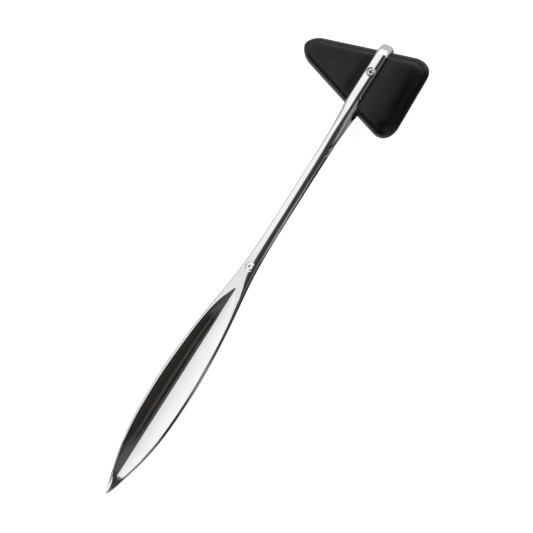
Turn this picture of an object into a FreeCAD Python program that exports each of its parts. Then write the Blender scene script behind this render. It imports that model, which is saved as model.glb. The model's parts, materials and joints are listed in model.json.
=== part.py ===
"""Reflex hammer: a chromed handle whose flat eye clamps a rubber wedge with one screw.

Everything is drawn in the hammer's own axes, in millimetres: X runs from the pointed tip to the top
of the eye, Y points to the narrow end of the rubber, Z points out of the front face, and z = 0 is the
middle plane of the handle. The finished pieces are then tipped and moved so that the hammer lies on
its back, as on a table, with the origin under the middle of its box.
"""

import FreeCAD, Part
import math
import os

Vector = FreeCAD.Vector
Y_AXIS = Vector(0, 1, 0)
Z_AXIS = Vector(0, 0, 1)
ORIGIN = Vector(0, 0, 0)

# Handle, lengths from the pointed tip.
LENGTH = 200.0
BLADE_HALF_WIDTH = 7.85
BLADE_WIDEST_X = 48.0
BLADE_HALF_THICKNESS = 1.6
BLADE_EDGE_RADIUS = 0.8
BLADE_END_X = 112.0
BLADE_END_INSET = 0.1
TIP_HALF_THICKNESS = 0.45
TIP_FULL_THICKNESS_X = 9.0
SHAFT_HALF_WIDTH = 2.5
SHAFT_HALF_THICKNESS = 2.2
SHAFT_START_X = 105.0
SHAFT_START_INSET = 0.05
SHAFT_FULL_X = 126.0
SHAFT_END_X = 153.0
BAR_EDGE_RADIUS = 1.5

# Leaf-shaped hollow in the front of the blade: a shallow V with its valley on the centre line.
HOLLOW_TIP_X = 6.6
HOLLOW_TOP_X = 91.5
HOLLOW_DEPTH = 1.05
HOLLOW_OVERCUT = 0.3
HOLLOW_STEPS = 16

# Plain round stamp on the front, where the blade meets the shaft.
STAMP_X = 101.7
STAMP_RADIUS = 1.75
STAMP_LINE_WIDTH = 0.35
STAMP_DEPTH = 0.2
STAMP_DOT_RADIUS = 0.5

# Eye that holds the rubber.
STRAP_THICKNESS = 2.2
EYE_INNER_HALF = 8.0
EYE_OUTER_HALF = EYE_INNER_HALF + STRAP_THICKNESS
EYE_OUTER_START_X = 177.5
CROTCH_LEAVE = 0.5
CROTCH_ARRIVE = 0.28
EYE_OUTER_CORNER = 6.0
EYE_INNER_CORNER = 3.2
BRIDGE_THICKNESS = 2.1
EYE_INNER_TOP_X = LENGTH - BRIDGE_THICKNESS
CROTCH_X = 168.3
CROTCH_DEPTH = 7.7
EYE_INNER_EDGE_RADIUS = 0.4

# Screw: a small metric machine screw with a cross recess, in a counterbore.
SCREW_X = 187.2
SHANK_RADIUS = 0.98
HEAD_RADIUS = 1.42
HEAD_HEIGHT = 0.95
HEAD_EDGE_RADIUS = 0.2
RECESS_LENGTH = 2.0
RECESS_WIDTH = 0.42
RECESS_DEPTH = 0.6
SCREW_END_CHAMFER = 0.25
SCREW_END_BELOW_FACE = 0.3
COUNTERBORE_RADIUS = 1.75
WASHER_THICKNESS = 0.35
WASHER_OUTER_RADIUS = 1.5
WASHER_INNER_RADIUS = 1.04
WASHER_SPLIT = 0.3
STRAP_HOLE_RADIUS = 1.06
TAPPED_HOLE_RADIUS = 1.02
RUBBER_HOLE_RADIUS = 1.05
HEAD_TOP_BELOW_CROWN = 0.1
SEAT_GAP = 0.01
REAR_FACE_X = SCREW_X - 6.0

# Rubber wedge. U runs along it from the blunt base to the narrow end, measured from the screw.
RUBBER_HALF_THICKNESS = 8.35
RUBBER_CENTRE_X = SCREW_X - 2.3
RUBBER_HALF_WIDTH_AT_SCREW = 12.65
RUBBER_TAPER = 0.319
RUBBER_BASE_U = -18.6
RUBBER_NOSE_RADIUS = 5.0
RUBBER_BASE_TOP_RADIUS = 5.5
RUBBER_BASE_LOW_RADIUS = 6.6
RUBBER_SHOULDER = 3.4
RUBBER_BASE_ROUNDING = 7.4
RUBBER_SKEW_DEG = 2.0
GROOVE_HALF_WIDTH = 2.8
GROOVE_CLEARANCE = 0.06

# How far cutting tools run past the material, how far a hole's tool starts inside the window, and the
# corners of a tool where it cuts nothing.
OVERRUN = 5.0
HOLE_LEAD = 1.0
TOOL_CORNER_RADIUS = 1.0

# How closely an edge must lie on a plane or inside the window to be taken as one of its edges, and
# where along the edge that is looked at.
SLACK = 1e-4
EDGE_SAMPLES = (0.0, 0.37, 0.5, 1.0)


def xz(x, z, y=0.0):
    """A point given by its place along the handle and its height above the middle plane."""
    return Vector(x, y, z)


def smooth_curve(points):
    """A smooth curve through the points."""
    curve = Part.BSplineCurve()
    curve.interpolate(points)
    return curve


def s_curve(start, end, leave=0.5, arrive=0.5):
    """A curve that leaves start and reaches end running along X, for those shares of the way."""
    length = end.x - start.x
    curve = Part.BezierCurve()
    curve.setPoles([start, start + Vector(length * leave, 0, 0), end - Vector(length * arrive, 0, 0), end])
    return curve


def rounded_polygon(corners, radii):
    """A closed wire through the corners, each one rounded by its own radius."""
    count = len(corners)
    edges = []
    starts = []
    for index in range(count):
        corner = corners[index]
        back = (corners[index - 1] - corner).normalize()
        ahead = (corners[(index + 1) % count] - corner).normalize()
        half_angle = back.getAngle(ahead) / 2
        reach = radii[index] / math.tan(half_angle)
        middle = (back + ahead).normalize()
        centre = corner + middle * (radii[index] / math.sin(half_angle))
        starts.append((corner + back * reach, centre - middle * radii[index], corner + ahead * reach))
    for index in range(count):
        enter, mid, leave = starts[index]
        edges.append(Part.Arc(enter, mid, leave).toShape())
        edges.append(Part.LineSegment(leave, starts[(index + 1) % count][0]).toShape())
    return Part.Wire(edges)


def prism(wire, start, direction):
    """The solid between the wire's face, moved to start, and the same face moved by direction."""
    face = Part.Face(wire)
    face.translate(start)
    return face.extrude(direction)


def edges_at(solid, along, height):
    """Edges that lie wholly in the plane at that height along a unit axis."""
    found = []
    for edge in solid.Edges:
        low, high = edge.ParameterRange
        places = [edge.valueAt(low + (high - low) * part) for part in EDGE_SAMPLES]
        if all(abs(place.dot(along) - height) < SLACK for place in places):
            found.append(edge)
    return found


# ---------------------------------------------------------------- handle

def leaf_outline():
    """Half of the blade's outline, from the tip to the width of the shaft."""
    return smooth_curve([
        Vector(0, 0, 0),
        Vector(17.0, 5.25, 0),
        Vector(34.0, 7.45, 0),
        Vector(BLADE_WIDEST_X, BLADE_HALF_WIDTH, 0),
        Vector(66.0, 7.1, 0),
        Vector(85.0, 4.85, 0),
        Vector(100.0, 3.1, 0),
        Vector(BLADE_END_X, SHAFT_HALF_WIDTH - BLADE_END_INSET, 0),
    ])


def blade():
    """The leaf, thinned to a roof at the tip."""
    half = leaf_outline().toShape()
    other = half.mirror(ORIGIN, Y_AXIS)
    end = Part.LineSegment(half.Vertexes[-1].Point, other.Vertexes[-1].Point).toShape()
    wire = Part.Wire(Part.__sortEdges__([half, end, other]))
    solid = prism(wire, Vector(0, 0, -BLADE_HALF_THICKNESS), Vector(0, 0, 2 * BLADE_HALF_THICKNESS))
    thin = TIP_HALF_THICKNESS
    full = BLADE_HALF_THICKNESS
    side = Part.makePolygon([
        xz(-OVERRUN, -thin), xz(0, -thin), xz(TIP_FULL_THICKNESS_X, -full), xz(BLADE_END_X, -full),
        xz(BLADE_END_X, full), xz(TIP_FULL_THICKNESS_X, full), xz(0, thin), xz(-OVERRUN, thin),
        xz(-OVERRUN, -thin),
    ])
    envelope = prism(side, Vector(0, -2 * BLADE_HALF_WIDTH, 0), Vector(0, 4 * BLADE_HALF_WIDTH, 0))
    rims = [edge for height in (-full, full) for edge in edges_at(solid, Z_AXIS, height)
            if edge.Length > BLADE_WIDEST_X]
    return solid.makeFillet(BLADE_EDGE_RADIUS, rims).common(envelope)


def hollow_widths():
    """Places along the blade, and half the width of the hollow there."""
    curve = smooth_curve([
        xz(7.6, 1.7), xz(9.4, 2.55), xz(13.2, 3.7), xz(24.5, 5.8), xz(40.0, 6.75), xz(50.0, 6.8),
        xz(62.3, 6.3), xz(77.4, 4.85), xz(84.9, 2.9), xz(88.7, 1.4),
    ])
    low, high = curve.FirstParameter, curve.LastParameter
    places = [curve.value(low + (high - low) * step / HOLLOW_STEPS) for step in range(HOLLOW_STEPS + 1)]
    return [(place.x, place.z) for place in places]


def hollow():
    """The shallow V cut out of the blade's front, as a loft of triangles."""
    stations = hollow_widths()
    deepest = max(width for _, width in stations)
    top = BLADE_HALF_THICKNESS
    sections = [Part.Vertex(xz(HOLLOW_TIP_X, top))]
    for x, width in stations:
        depth = HOLLOW_DEPTH * width / deepest
        wide = width * (1 + HOLLOW_OVERCUT / depth)
        lip = top + HOLLOW_OVERCUT
        corners = [xz(x, lip, -wide), xz(x, top - depth), xz(x, lip, wide), xz(x, lip, -wide)]
        sections.append(Part.makePolygon(corners))
    sections.append(Part.Vertex(xz(HOLLOW_TOP_X, top)))
    return Part.makeLoft(sections, True, True)


def bar_side():
    """Outside of the shaft, crotch and eye, seen from the side."""
    blade_z = BLADE_HALF_THICKNESS - SHAFT_START_INSET
    shaft_z = SHAFT_HALF_THICKNESS
    eye_z = EYE_OUTER_HALF
    corner = EYE_OUTER_CORNER
    diagonal = corner * (1 - math.sqrt(0.5))
    top = [
        s_curve(xz(SHAFT_START_X, blade_z), xz(SHAFT_FULL_X, shaft_z)),
        Part.LineSegment(xz(SHAFT_FULL_X, shaft_z), xz(SHAFT_END_X, shaft_z)),
        s_curve(xz(SHAFT_END_X, shaft_z), xz(EYE_OUTER_START_X, eye_z), CROTCH_LEAVE, CROTCH_ARRIVE),
        Part.LineSegment(xz(EYE_OUTER_START_X, eye_z), xz(LENGTH - corner, eye_z)),
        Part.Arc(xz(LENGTH - corner, eye_z), xz(LENGTH - diagonal, eye_z - diagonal),
                 xz(LENGTH, eye_z - corner)),
    ]
    upper = [curve.toShape() for curve in top]
    lower = [edge.mirror(ORIGIN, Z_AXIS) for edge in upper]
    ends = [
        Part.LineSegment(xz(LENGTH, eye_z - corner), xz(LENGTH, corner - eye_z)).toShape(),
        Part.LineSegment(xz(SHAFT_START_X, blade_z), xz(SHAFT_START_X, -blade_z)).toShape(),
    ]
    return Part.Wire(Part.__sortEdges__(upper + lower + ends))


def eye_side(clearance=0.0):
    """The window that the rubber goes through, seen from the side, made smaller by a clearance."""
    z = EYE_INNER_HALF - clearance
    corner = EYE_INNER_CORNER
    diagonal = corner * (1 - math.sqrt(0.5))
    straight_x = CROTCH_X + CROTCH_DEPTH
    top_x = EYE_INNER_TOP_X - clearance
    ellipse = Part.Ellipse(xz(straight_x, z), xz(CROTCH_X + clearance, 0), xz(straight_x, 0))
    crotch = Part.ArcOfEllipse(ellipse, 0, math.pi)
    edges = [
        crotch.toShape(),
        Part.LineSegment(xz(straight_x, z), xz(top_x - corner, z)).toShape(),
        Part.Arc(xz(top_x - corner, z), xz(top_x - diagonal, z - diagonal),
                 xz(top_x, z - corner)).toShape(),
        Part.LineSegment(xz(top_x, z - corner), xz(top_x, corner - z)).toShape(),
        Part.Arc(xz(top_x, corner - z), xz(top_x - diagonal, diagonal - z),
                 xz(top_x - corner, -z)).toShape(),
        Part.LineSegment(xz(top_x - corner, -z), xz(straight_x, -z)).toShape(),
    ]
    return Part.Wire(Part.__sortEdges__(edges))


def is_on_window(edge):
    """Whether the edge is one that the eye's window made, not one of the outside's."""
    middle = edge.valueAt(sum(edge.ParameterRange) / 2)
    inside_x = CROTCH_X - SLACK < middle.x < EYE_INNER_TOP_X + SLACK
    return inside_x and abs(middle.z) < EYE_INNER_HALF + SLACK


def bar():
    """Shaft, crotch and closed eye, cut from one width and rounded along its edges."""
    start = Vector(0, -SHAFT_HALF_WIDTH, 0)
    width = Vector(0, 2 * SHAFT_HALF_WIDTH, 0)
    outside = prism(bar_side(), start, width)
    rims = [edge for side in (-SHAFT_HALF_WIDTH, SHAFT_HALF_WIDTH)
            for edge in edges_at(outside, Y_AXIS, side) if edge.BoundBox.XMax > SHAFT_START_X + SLACK]
    outside = outside.makeFillet(BAR_EDGE_RADIUS, rims)
    window = prism(eye_side(), start * 2, width * 2)
    solid = outside.cut(window)
    lips = [edge for side in (-SHAFT_HALF_WIDTH, SHAFT_HALF_WIDTH) for edge in edges_at(solid, Y_AXIS, side)
            if is_on_window(edge)]
    return solid.makeFillet(EYE_INNER_EDGE_RADIUS, lips)


def stamp():
    """Ring and dot pressed into the front face."""
    floor = Vector(STAMP_X, 0, BLADE_HALF_THICKNESS - STAMP_DEPTH)
    ring = Part.makeCylinder(STAMP_RADIUS, OVERRUN, floor)
    ring = ring.cut(Part.makeCylinder(STAMP_RADIUS - STAMP_LINE_WIDTH, OVERRUN, floor))
    return ring.fuse(Part.makeCylinder(STAMP_DOT_RADIUS, OVERRUN, floor))


def seat_z():
    """Height of the counterbore's floor, which the washer presses on."""
    return EYE_OUTER_HALF - HEAD_TOP_BELOW_CROWN - HEAD_HEIGHT - WASHER_THICKNESS - 2 * SEAT_GAP


def handle():
    solid = blade().fuse(bar())
    solid = solid.cut(hollow())
    solid = solid.cut(stamp())
    counterbore = Part.makeCylinder(COUNTERBORE_RADIUS, OVERRUN, xz(SCREW_X, seat_z()))
    front_hole = Part.makeCylinder(STRAP_HOLE_RADIUS, OVERRUN, xz(SCREW_X, EYE_INNER_HALF - HOLE_LEAD))
    rear_hole = Part.makeCylinder(TAPPED_HOLE_RADIUS, OVERRUN, xz(SCREW_X, HOLE_LEAD - EYE_INNER_HALF), -Z_AXIS)
    return solid.cut(counterbore).cut(front_hole).cut(rear_hole).removeSplitter()


# ---------------------------------------------------------------- rubber, screw and washer

def groove():
    """The room that the eye takes up where it crosses the rubber, with a little clearance."""
    start = Vector(0, -GROOVE_HALF_WIDTH, 0)
    across = Vector(0, 2 * GROOVE_HALF_WIDTH, 0)
    corner = Vector(LENGTH / 2, -GROOVE_HALF_WIDTH, -LENGTH / 2)
    around = Part.makeBox(LENGTH, 2 * GROOVE_HALF_WIDTH, LENGTH, corner)
    return around.cut(prism(eye_side(GROOVE_CLEARANCE), start, across))


def rubber_head():
    """Wedge with rounded corners and shoulders, grooved where the straps grip it."""
    half = RUBBER_HALF_THICKNESS
    point_u = RUBBER_HALF_WIDTH_AT_SCREW / RUBBER_TAPER
    base_half = RUBBER_HALF_WIDTH_AT_SCREW - RUBBER_TAPER * RUBBER_BASE_U
    corners = [Vector(0, point_u, 0), Vector(-base_half, RUBBER_BASE_U, 0), Vector(base_half, RUBBER_BASE_U, 0)]
    radii = [RUBBER_NOSE_RADIUS, RUBBER_BASE_LOW_RADIUS, RUBBER_BASE_TOP_RADIUS]
    wedge = prism(rounded_polygon(corners, radii), Vector(0, 0, -half), Vector(0, 0, 2 * half))
    rims = edges_at(wedge, Z_AXIS, half) + edges_at(wedge, Z_AXIS, -half)
    wedge = wedge.makeFillet(RUBBER_SHOULDER, rims)
    wide = 2 * base_half
    base = RUBBER_BASE_U
    far = point_u + OVERRUN
    side = rounded_polygon(
        [Vector(-wide, base, -half), Vector(-wide, base, half), Vector(-wide, far, half),
         Vector(-wide, far, -half)],
        [RUBBER_BASE_ROUNDING, RUBBER_BASE_ROUNDING, TOOL_CORNER_RADIUS, TOOL_CORNER_RADIUS])
    wedge = wedge.common(prism(side, ORIGIN, Vector(2 * wide, 0, 0)))
    wedge.translate(Vector(RUBBER_CENTRE_X, 0, 0))
    wedge.rotate(Vector(SCREW_X, 0, 0), Z_AXIS, RUBBER_SKEW_DEG)
    wedge = wedge.cut(groove())
    bore = Part.makeCylinder(RUBBER_HOLE_RADIUS, 4 * half, xz(SCREW_X, -2 * half))
    return wedge.cut(bore)


def clamp_screw():
    """Cheese-head screw with a cross recess, its thread drawn as a plain shank."""
    head_z = EYE_OUTER_HALF - HEAD_TOP_BELOW_CROWN - HEAD_HEIGHT
    end_z = SCREW_END_BELOW_FACE - EYE_OUTER_HALF
    head = Part.makeCylinder(HEAD_RADIUS, HEAD_HEIGHT, xz(SCREW_X, head_z))
    head = head.makeFillet(HEAD_EDGE_RADIUS, edges_at(head, Z_AXIS, head_z + HEAD_HEIGHT))
    shank = Part.makeCylinder(SHANK_RADIUS, head_z - end_z, xz(SCREW_X, end_z))
    shank = shank.makeChamfer(SCREW_END_CHAMFER, edges_at(shank, Z_AXIS, end_z))
    screw = head.fuse(shank)
    floor = head_z + HEAD_HEIGHT - RECESS_DEPTH
    for length, width in ((RECESS_LENGTH, RECESS_WIDTH), (RECESS_WIDTH, RECESS_LENGTH)):
        corner = Vector(SCREW_X - length / 2, -width / 2, floor)
        screw = screw.cut(Part.makeBox(length, width, OVERRUN, corner))
    return screw.removeSplitter()


def lock_washer():
    """Split spring washer, pressed flat between the screw's head and the counterbore's floor."""
    base = xz(SCREW_X, seat_z() + SEAT_GAP)
    ring = Part.makeCylinder(WASHER_OUTER_RADIUS, WASHER_THICKNESS, base)
    ring = ring.cut(Part.makeCylinder(WASHER_INNER_RADIUS, WASHER_THICKNESS, base))
    corner = base - Vector(WASHER_SPLIT / 2, 0, 0)
    return ring.cut(Part.makeBox(WASHER_SPLIT, 2 * WASHER_OUTER_RADIUS, WASHER_THICKNESS, corner))


# ---------------------------------------------------------------- placing

def rest_pitch_deg():
    """How far the hammer tips for its blade and the back of its eye to touch one flat surface."""
    rise = EYE_OUTER_HALF - BLADE_HALF_THICKNESS
    return math.degrees(math.atan2(rise, EYE_OUTER_START_X - TIP_FULL_THICKNESS_X))


def lay_down(pieces):
    """Tip the pieces on to their back and put the origin under the middle of their box."""
    for shape in pieces.values():
        shape.rotate(ORIGIN, Y_AXIS, -rest_pitch_deg())
    box = Part.makeCompound(list(pieces.values())).optimalBoundingBox(False, False)
    shift = Vector(-box.Center.x, -box.Center.y, -box.ZMin)
    for shape in pieces.values():
        shape.translate(shift)
    screw = FreeCAD.Placement(shift, FreeCAD.Rotation(Y_AXIS, -rest_pitch_deg()))
    print("screw head at", screw.multVec(xz(SCREW_X, EYE_OUTER_HALF)), "pitch", rest_pitch_deg())
    print("rear face at", screw.multVec(xz(REAR_FACE_X, -EYE_OUTER_HALF)))
    print("screw axis", screw.Rotation.multVec(Z_AXIS))


def main():
    pieces = {
        "handle": handle(),
        "rubber_head": rubber_head(),
        "clamp_screw": clamp_screw(),
        "lock_washer": lock_washer(),
    }
    lay_down(pieces)
    os.makedirs("parts", exist_ok=True)
    for name, shape in pieces.items():
        print(name, "valid", shape.isValid(), "solids", len(shape.Solids), "volume", round(shape.Volume, 2))
        shape.exportStep(os.path.join("parts", name + ".step"))


main()
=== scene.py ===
import bmesh
import bpy
import json
import math
import numpy as np
from mathutils import Matrix, Vector


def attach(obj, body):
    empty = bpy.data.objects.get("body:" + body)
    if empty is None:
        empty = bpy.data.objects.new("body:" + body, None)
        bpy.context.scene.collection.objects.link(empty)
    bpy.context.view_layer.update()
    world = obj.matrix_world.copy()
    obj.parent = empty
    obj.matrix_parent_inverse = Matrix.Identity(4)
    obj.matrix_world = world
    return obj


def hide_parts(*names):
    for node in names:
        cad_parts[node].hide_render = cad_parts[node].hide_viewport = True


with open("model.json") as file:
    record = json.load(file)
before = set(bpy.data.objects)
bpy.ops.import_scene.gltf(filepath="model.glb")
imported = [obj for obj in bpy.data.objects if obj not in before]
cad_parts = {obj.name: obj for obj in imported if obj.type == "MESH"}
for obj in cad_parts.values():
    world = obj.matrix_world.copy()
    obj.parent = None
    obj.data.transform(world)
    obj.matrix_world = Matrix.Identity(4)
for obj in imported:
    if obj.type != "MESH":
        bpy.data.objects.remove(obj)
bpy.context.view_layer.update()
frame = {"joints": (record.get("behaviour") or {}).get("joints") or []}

# ------------------------------------------------------------------ the hammer's own axes
# Shapes are worked out in millimetres: x from the pointed tip to the top of the eye, y towards the
# narrow end of the rubber, z out of the front face. The screw's joint says where that lies.

MM = 0.001
LENGTH = 200.0
SCREW_X = 187.2
EYE_OUTER = 10.2
EYE_INNER = 8.0

screw_joint = next(joint for joint in frame["joints"] if joint["name"] == "screw_turn")
FRONT = Vector(screw_joint["axis"]).normalized()
ALONG = Vector((FRONT.z, 0.0, -FRONT.x)).normalized()
SIDE = FRONT.cross(ALONG)
SCREW_HEAD = Vector(screw_joint["pos_m"])
AXES = np.array([ALONG, SIDE, FRONT])


def place(points):
    """Points in the hammer's own axes, as points in the row frame, in metres."""
    local = np.asarray(points, float).reshape(-1, 3) - (SCREW_X, 0.0, EYE_OUTER)
    return local @ AXES * MM + np.array(SCREW_HEAD)


def smooth_step(value, low, high):
    """0 below low, 1 above high, and an S between them."""
    part = np.clip((np.asarray(value, float) - low) / (high - low), 0.0, 1.0)
    return part * part * (3.0 - 2.0 * part)


class Curve:
    """A smooth function through given points, flat outside them: a cubic spline, free at its start."""

    def __init__(self, *points, end_slope=0.0):
        self.x, self.y = np.array(points, float).T
        gaps = np.diff(self.x)
        rises = np.diff(self.y) / gaps
        count = len(self.x)
        matrix = np.zeros((count, count))
        right = np.zeros(count)
        matrix[0, 0] = 1.0
        for i in range(1, count - 1):
            matrix[i, i - 1:i + 2] = (gaps[i - 1], 2 * (gaps[i - 1] + gaps[i]), gaps[i])
            right[i] = 6 * (rises[i] - rises[i - 1])
        matrix[-1, -2:] = (gaps[-1], 2 * gaps[-1])
        right[-1] = 6 * (end_slope - rises[-1])
        self.bends = np.linalg.solve(matrix, right)

    def __call__(self, place_x):
        x = np.clip(place_x, self.x[0], self.x[-1])
        i = np.clip(np.searchsorted(self.x, x) - 1, 0, len(self.x) - 2)
        gap = self.x[i + 1] - self.x[i]
        a, b = (self.x[i + 1] - x) / gap, (x - self.x[i]) / gap
        bend = ((a ** 3 - a) * self.bends[i] + (b ** 3 - b) * self.bends[i + 1]) * gap * gap / 6
        return a * self.y[i] + b * self.y[i + 1] + bend


# ------------------------------------------------------------------ meshes

def mesh_object(name, points, faces):
    """A new object, riding on nothing yet, from points in the hammer's own axes."""
    mesh = bpy.data.meshes.new(name)
    mesh.from_pydata([tuple(point) for point in place(points)], [], faces)
    mesh.validate()
    piece = bpy.data.objects.new(name, mesh)
    bpy.context.scene.collection.objects.link(piece)
    return piece


def mend(piece):
    """Drop stray points, join doubled ones and turn the faces outwards."""
    made = bmesh.new()
    made.from_mesh(piece.data)
    stray = [vert for vert in made.verts if not vert.link_faces]
    bmesh.ops.delete(made, geom=stray, context="VERTS")
    bmesh.ops.remove_doubles(made, verts=made.verts, dist=1e-7)
    bmesh.ops.recalc_face_normals(made, faces=made.faces)
    made.to_mesh(piece.data)
    made.free()


def finish_mesh(piece, sharp_deg=34.0):
    """Smooth shading, with crisp edges where the surface turns sharply."""
    mend(piece)
    piece.data.polygons.foreach_set("use_smooth", [True] * len(piece.data.polygons))
    piece.data.set_sharp_from_angle(angle=math.radians(sharp_deg))


def cut(piece, cutters):
    """Take each cutter's volume out of the piece."""
    for cutter in cutters:
        change = piece.modifiers.new("cut", "BOOLEAN")
        change.operation = "DIFFERENCE"
        change.solver = "EXACT"
        change.object = cutter
    graph = bpy.context.evaluated_depsgraph_get()
    mesh = bpy.data.meshes.new_from_object(piece.evaluated_get(graph))
    piece.modifiers.clear()
    piece.data = mesh
    for cutter in cutters:
        bpy.data.objects.remove(cutter)


def circle(radius, z, segments):
    """A ring of points round the screw's axis."""
    angles = [2 * math.pi * k / segments for k in range(segments)]
    return [(SCREW_X + radius * math.cos(angle), radius * math.sin(angle), z) for angle in angles]


def tube_faces(rows, around):
    """Faces of a tube of rings, each of as many points, closed with a flat cap at both ends."""
    faces = [tuple(range(around))[::-1], tuple((rows - 1) * around + k for k in range(around))]
    for row in range(rows - 1):
        for k in range(around):
            a, b = row * around + k, row * around + (k + 1) % around
            faces.append((a, b, b + around, a + around))
    return faces


def turned(name, profile, segments=72):
    """A closed solid of revolution about the screw's axis: profile is (radius, z) from bottom to top."""
    points = [point for radius, z in profile for point in circle(radius, z, segments)]
    return mesh_object(name, points, tube_faces(len(profile), segments))


# ------------------------------------------------------------------ handle
# The blade, the shaft and the eye that the shaft splits into. A place is a distance from the tip, and
# a pair of places is where a change begins and where it is complete.

BLADE_THICK = 1.6
SHAFT_THICK = 2.2
SHAFT_THICKENS = (96.0, 128.0)
TIP_THICK = 0.35
TIP_THICKENS = (-3.5, 9.5)
TIP_ROOF_BASE = 0.1
TIP_ROOF_PITCH = 0.5
TIP_ROOF_CURVE = 1.15
TIP_ROOF_ENDS = (6.6, 9.2)
BLADE_BECOMES_SHAFT = (78.0, 96.0)
FACET_SLOPE = 0.2
FACET_STARTS = (92.0, 110.0)
BACK_FLATNESS = 5.0
BACK_ROUNDNESS = 2.3
BACK_ROUNDS = (70.0, 112.0)

CROTCH_START = 153.0
CROTCH_LEAVE = 0.5
CROTCH_ARRIVE = 0.28
EYE_STRAIGHT = 177.5
EYE_CORNER = 6.0
STRAP_HALF_WIDTH = 2.5
STRAP_FULL_X = 180.0
WINDOW_END = 168.3
WINDOW_STRAIGHT = 176.0
WINDOW_TOP = 197.9
WINDOW_CORNER = 3.2
WINDOW_NOSE_STEPS = 48
LIP = 0.35
LIP_STEPS = 5

HOLLOW_START = 5.9
HOLLOW_RUN_IN = 1.6
HOLLOW_STOP = 92.1
HOLLOW_LEAST = 0.05
HOLLOW_SLOPE = 0.155
HOLLOW_SAG = 0.4
VALLEY_ROUND = 0.10
RIM_ROUND = 0.012

STAMP_X = 101.7
STAMP_RADIUS = 1.5
STAMP_LINE = 0.17
STAMP_DEPTH = 0.16
STAMP_DOT = 0.4
STAMP_FLAT = (1.35, 1.85)
STAMP_FLATNESS = 0.85

# Columns of points across the front, and how much of the half width their stretches may take.
LEFT_ROUND_SHARE = 1.24
RIGHT_ROUND_SHARE = 1.32
HOLLOW_LEAST_SHARE = 0.25
RIM_LEAST = 0.02
ROUNDING_COLUMNS = 8
RIM_COLUMNS = 3
FACET_COLUMNS = 12

half_width = Curve((0, 0), (1.9, 0.9), (5.7, 2.1), (17, 5.03), (28.3, 6.83), (39.6, 7.53), (51, 7.66),
                   (62.3, 7.15), (73.6, 6.17), (85, 4.83), (96, 3.46), (107.6, 2.66), (120, 2.4),
                   (140, 2.36), (CROTCH_START, 2.36), (166, 2.41), (STRAP_FULL_X, STRAP_HALF_WIDTH))
left_round = Curve((0, 0.85), (70, 0.85), (90, 0.85), (104, 0.75), (155, 0.75), (177, 1.1))
right_round = Curve((0, 0.75), (70, 0.75), (86, 0.95), (92, 1.5), (97.5, 2.65), (102, 2.95), (108, 2.8),
                    (115, 2.65), (125, 2.5), (135, 2.6), (145, 2.72), (155, 2.93), (162, 3.0), (177, 2.15))
hollow_half = Curve((6.0, 0.75), (7.6, 1.7), (9.4, 2.45), (13.2, 3.55), (24.5, 5.6), (40, 6.5), (50, 6.55),
                    (62.3, 6.0), (77.4, 4.7), (85.3, 2.9), (89.4, 1.4), (92.1, 0.25), end_slope=-0.5)
tip_ridge = Curve((0, 0), (4.5, 0.3), (6.3, 0.95), (7.8, 1.8), (10.0, 2.6))
strap_depth = Curve((0, SHAFT_THICK), (8, 2.1), (20, 1.9), (60, 1.9))


def half_thickness(x):
    """Height of the handle's flat front above its middle plane, before the eye."""
    tip = TIP_THICK + (BLADE_THICK - TIP_THICK) * smooth_step(x, *TIP_THICKENS)
    roof = TIP_ROOF_BASE + TIP_ROOF_PITCH * half_width(x)
    return min(tip, roof) + (SHAFT_THICK - BLADE_THICK) * smooth_step(x, *SHAFT_THICKENS)


def hollow_width(x):
    """Half the width of the blade's hollow, nothing outside it."""
    inside = smooth_step(x, HOLLOW_START, HOLLOW_START + HOLLOW_RUN_IN) * (x < HOLLOW_STOP)
    return hollow_half(x) * inside


def hollow_depth(x, y):
    """How far the hollow lies below the blade's front: two facets, slightly dished, and a soft valley."""
    width = hollow_width(x)
    if width < HOLLOW_LEAST:
        return np.zeros_like(y)
    away = np.sqrt(y * y + VALLEY_ROUND ** 2) - VALLEY_ROUND / 2
    part = away / width
    raw = HOLLOW_SLOPE * width * (1 - part) * (1 + HOLLOW_SAG * part)
    return (raw + np.sqrt(raw * raw + RIM_ROUND ** 2)) / 2 - RIM_ROUND / 2 * (part > 1)


def stamp_depth(away):
    """A plain pressed ring with a dot in it."""
    ring = np.exp(-((away - STAMP_RADIUS) / STAMP_LINE) ** 2)
    dot = np.exp(-(away / STAMP_DOT) ** 4)
    return STAMP_DEPTH * (ring + dot)


def front_columns(x):
    """Where the front's columns of points lie across the handle at x, from the left edge to the right."""
    width = half_width(x)
    left = min(left_round(x), LEFT_ROUND_SHARE * width)
    right = min(right_round(x), RIGHT_ROUND_SHARE * width)
    quarter = np.linspace(0.0, math.pi / 2, ROUNDING_COLUMNS + 1)
    hollow = np.clip(hollow_width(x), HOLLOW_LEAST_SHARE * width, width - max(left, right) - RIM_LEAST)
    facet = hollow * (1 - np.cos(np.linspace(0, math.pi, FACET_COLUMNS + 1))) / 2
    blade_y = np.concatenate([
        width - left * (1 - np.cos(quarter)),
        np.linspace(width - left, hollow, RIM_COLUMNS + 1)[1:],
        facet[::-1][1:],
        -facet[1:],
        -np.linspace(hollow, width - right, RIM_COLUMNS + 1)[1:],
        -(width - right * (1 - np.cos(quarter)))[::-1][1:],
    ])
    ridge = right_round(x) - width
    to_ridge = np.cos(np.linspace(0.0, math.pi / 2, len(blade_y) // 2 + 1))
    shaft_y = np.concatenate([ridge + (width - ridge) * to_ridge,
                              ridge - (width + ridge) * to_ridge[::-1][1:]])
    mix = smooth_step(x, *BLADE_BECOMES_SHAFT)
    return blade_y * (1 - mix) + shaft_y * mix


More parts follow.
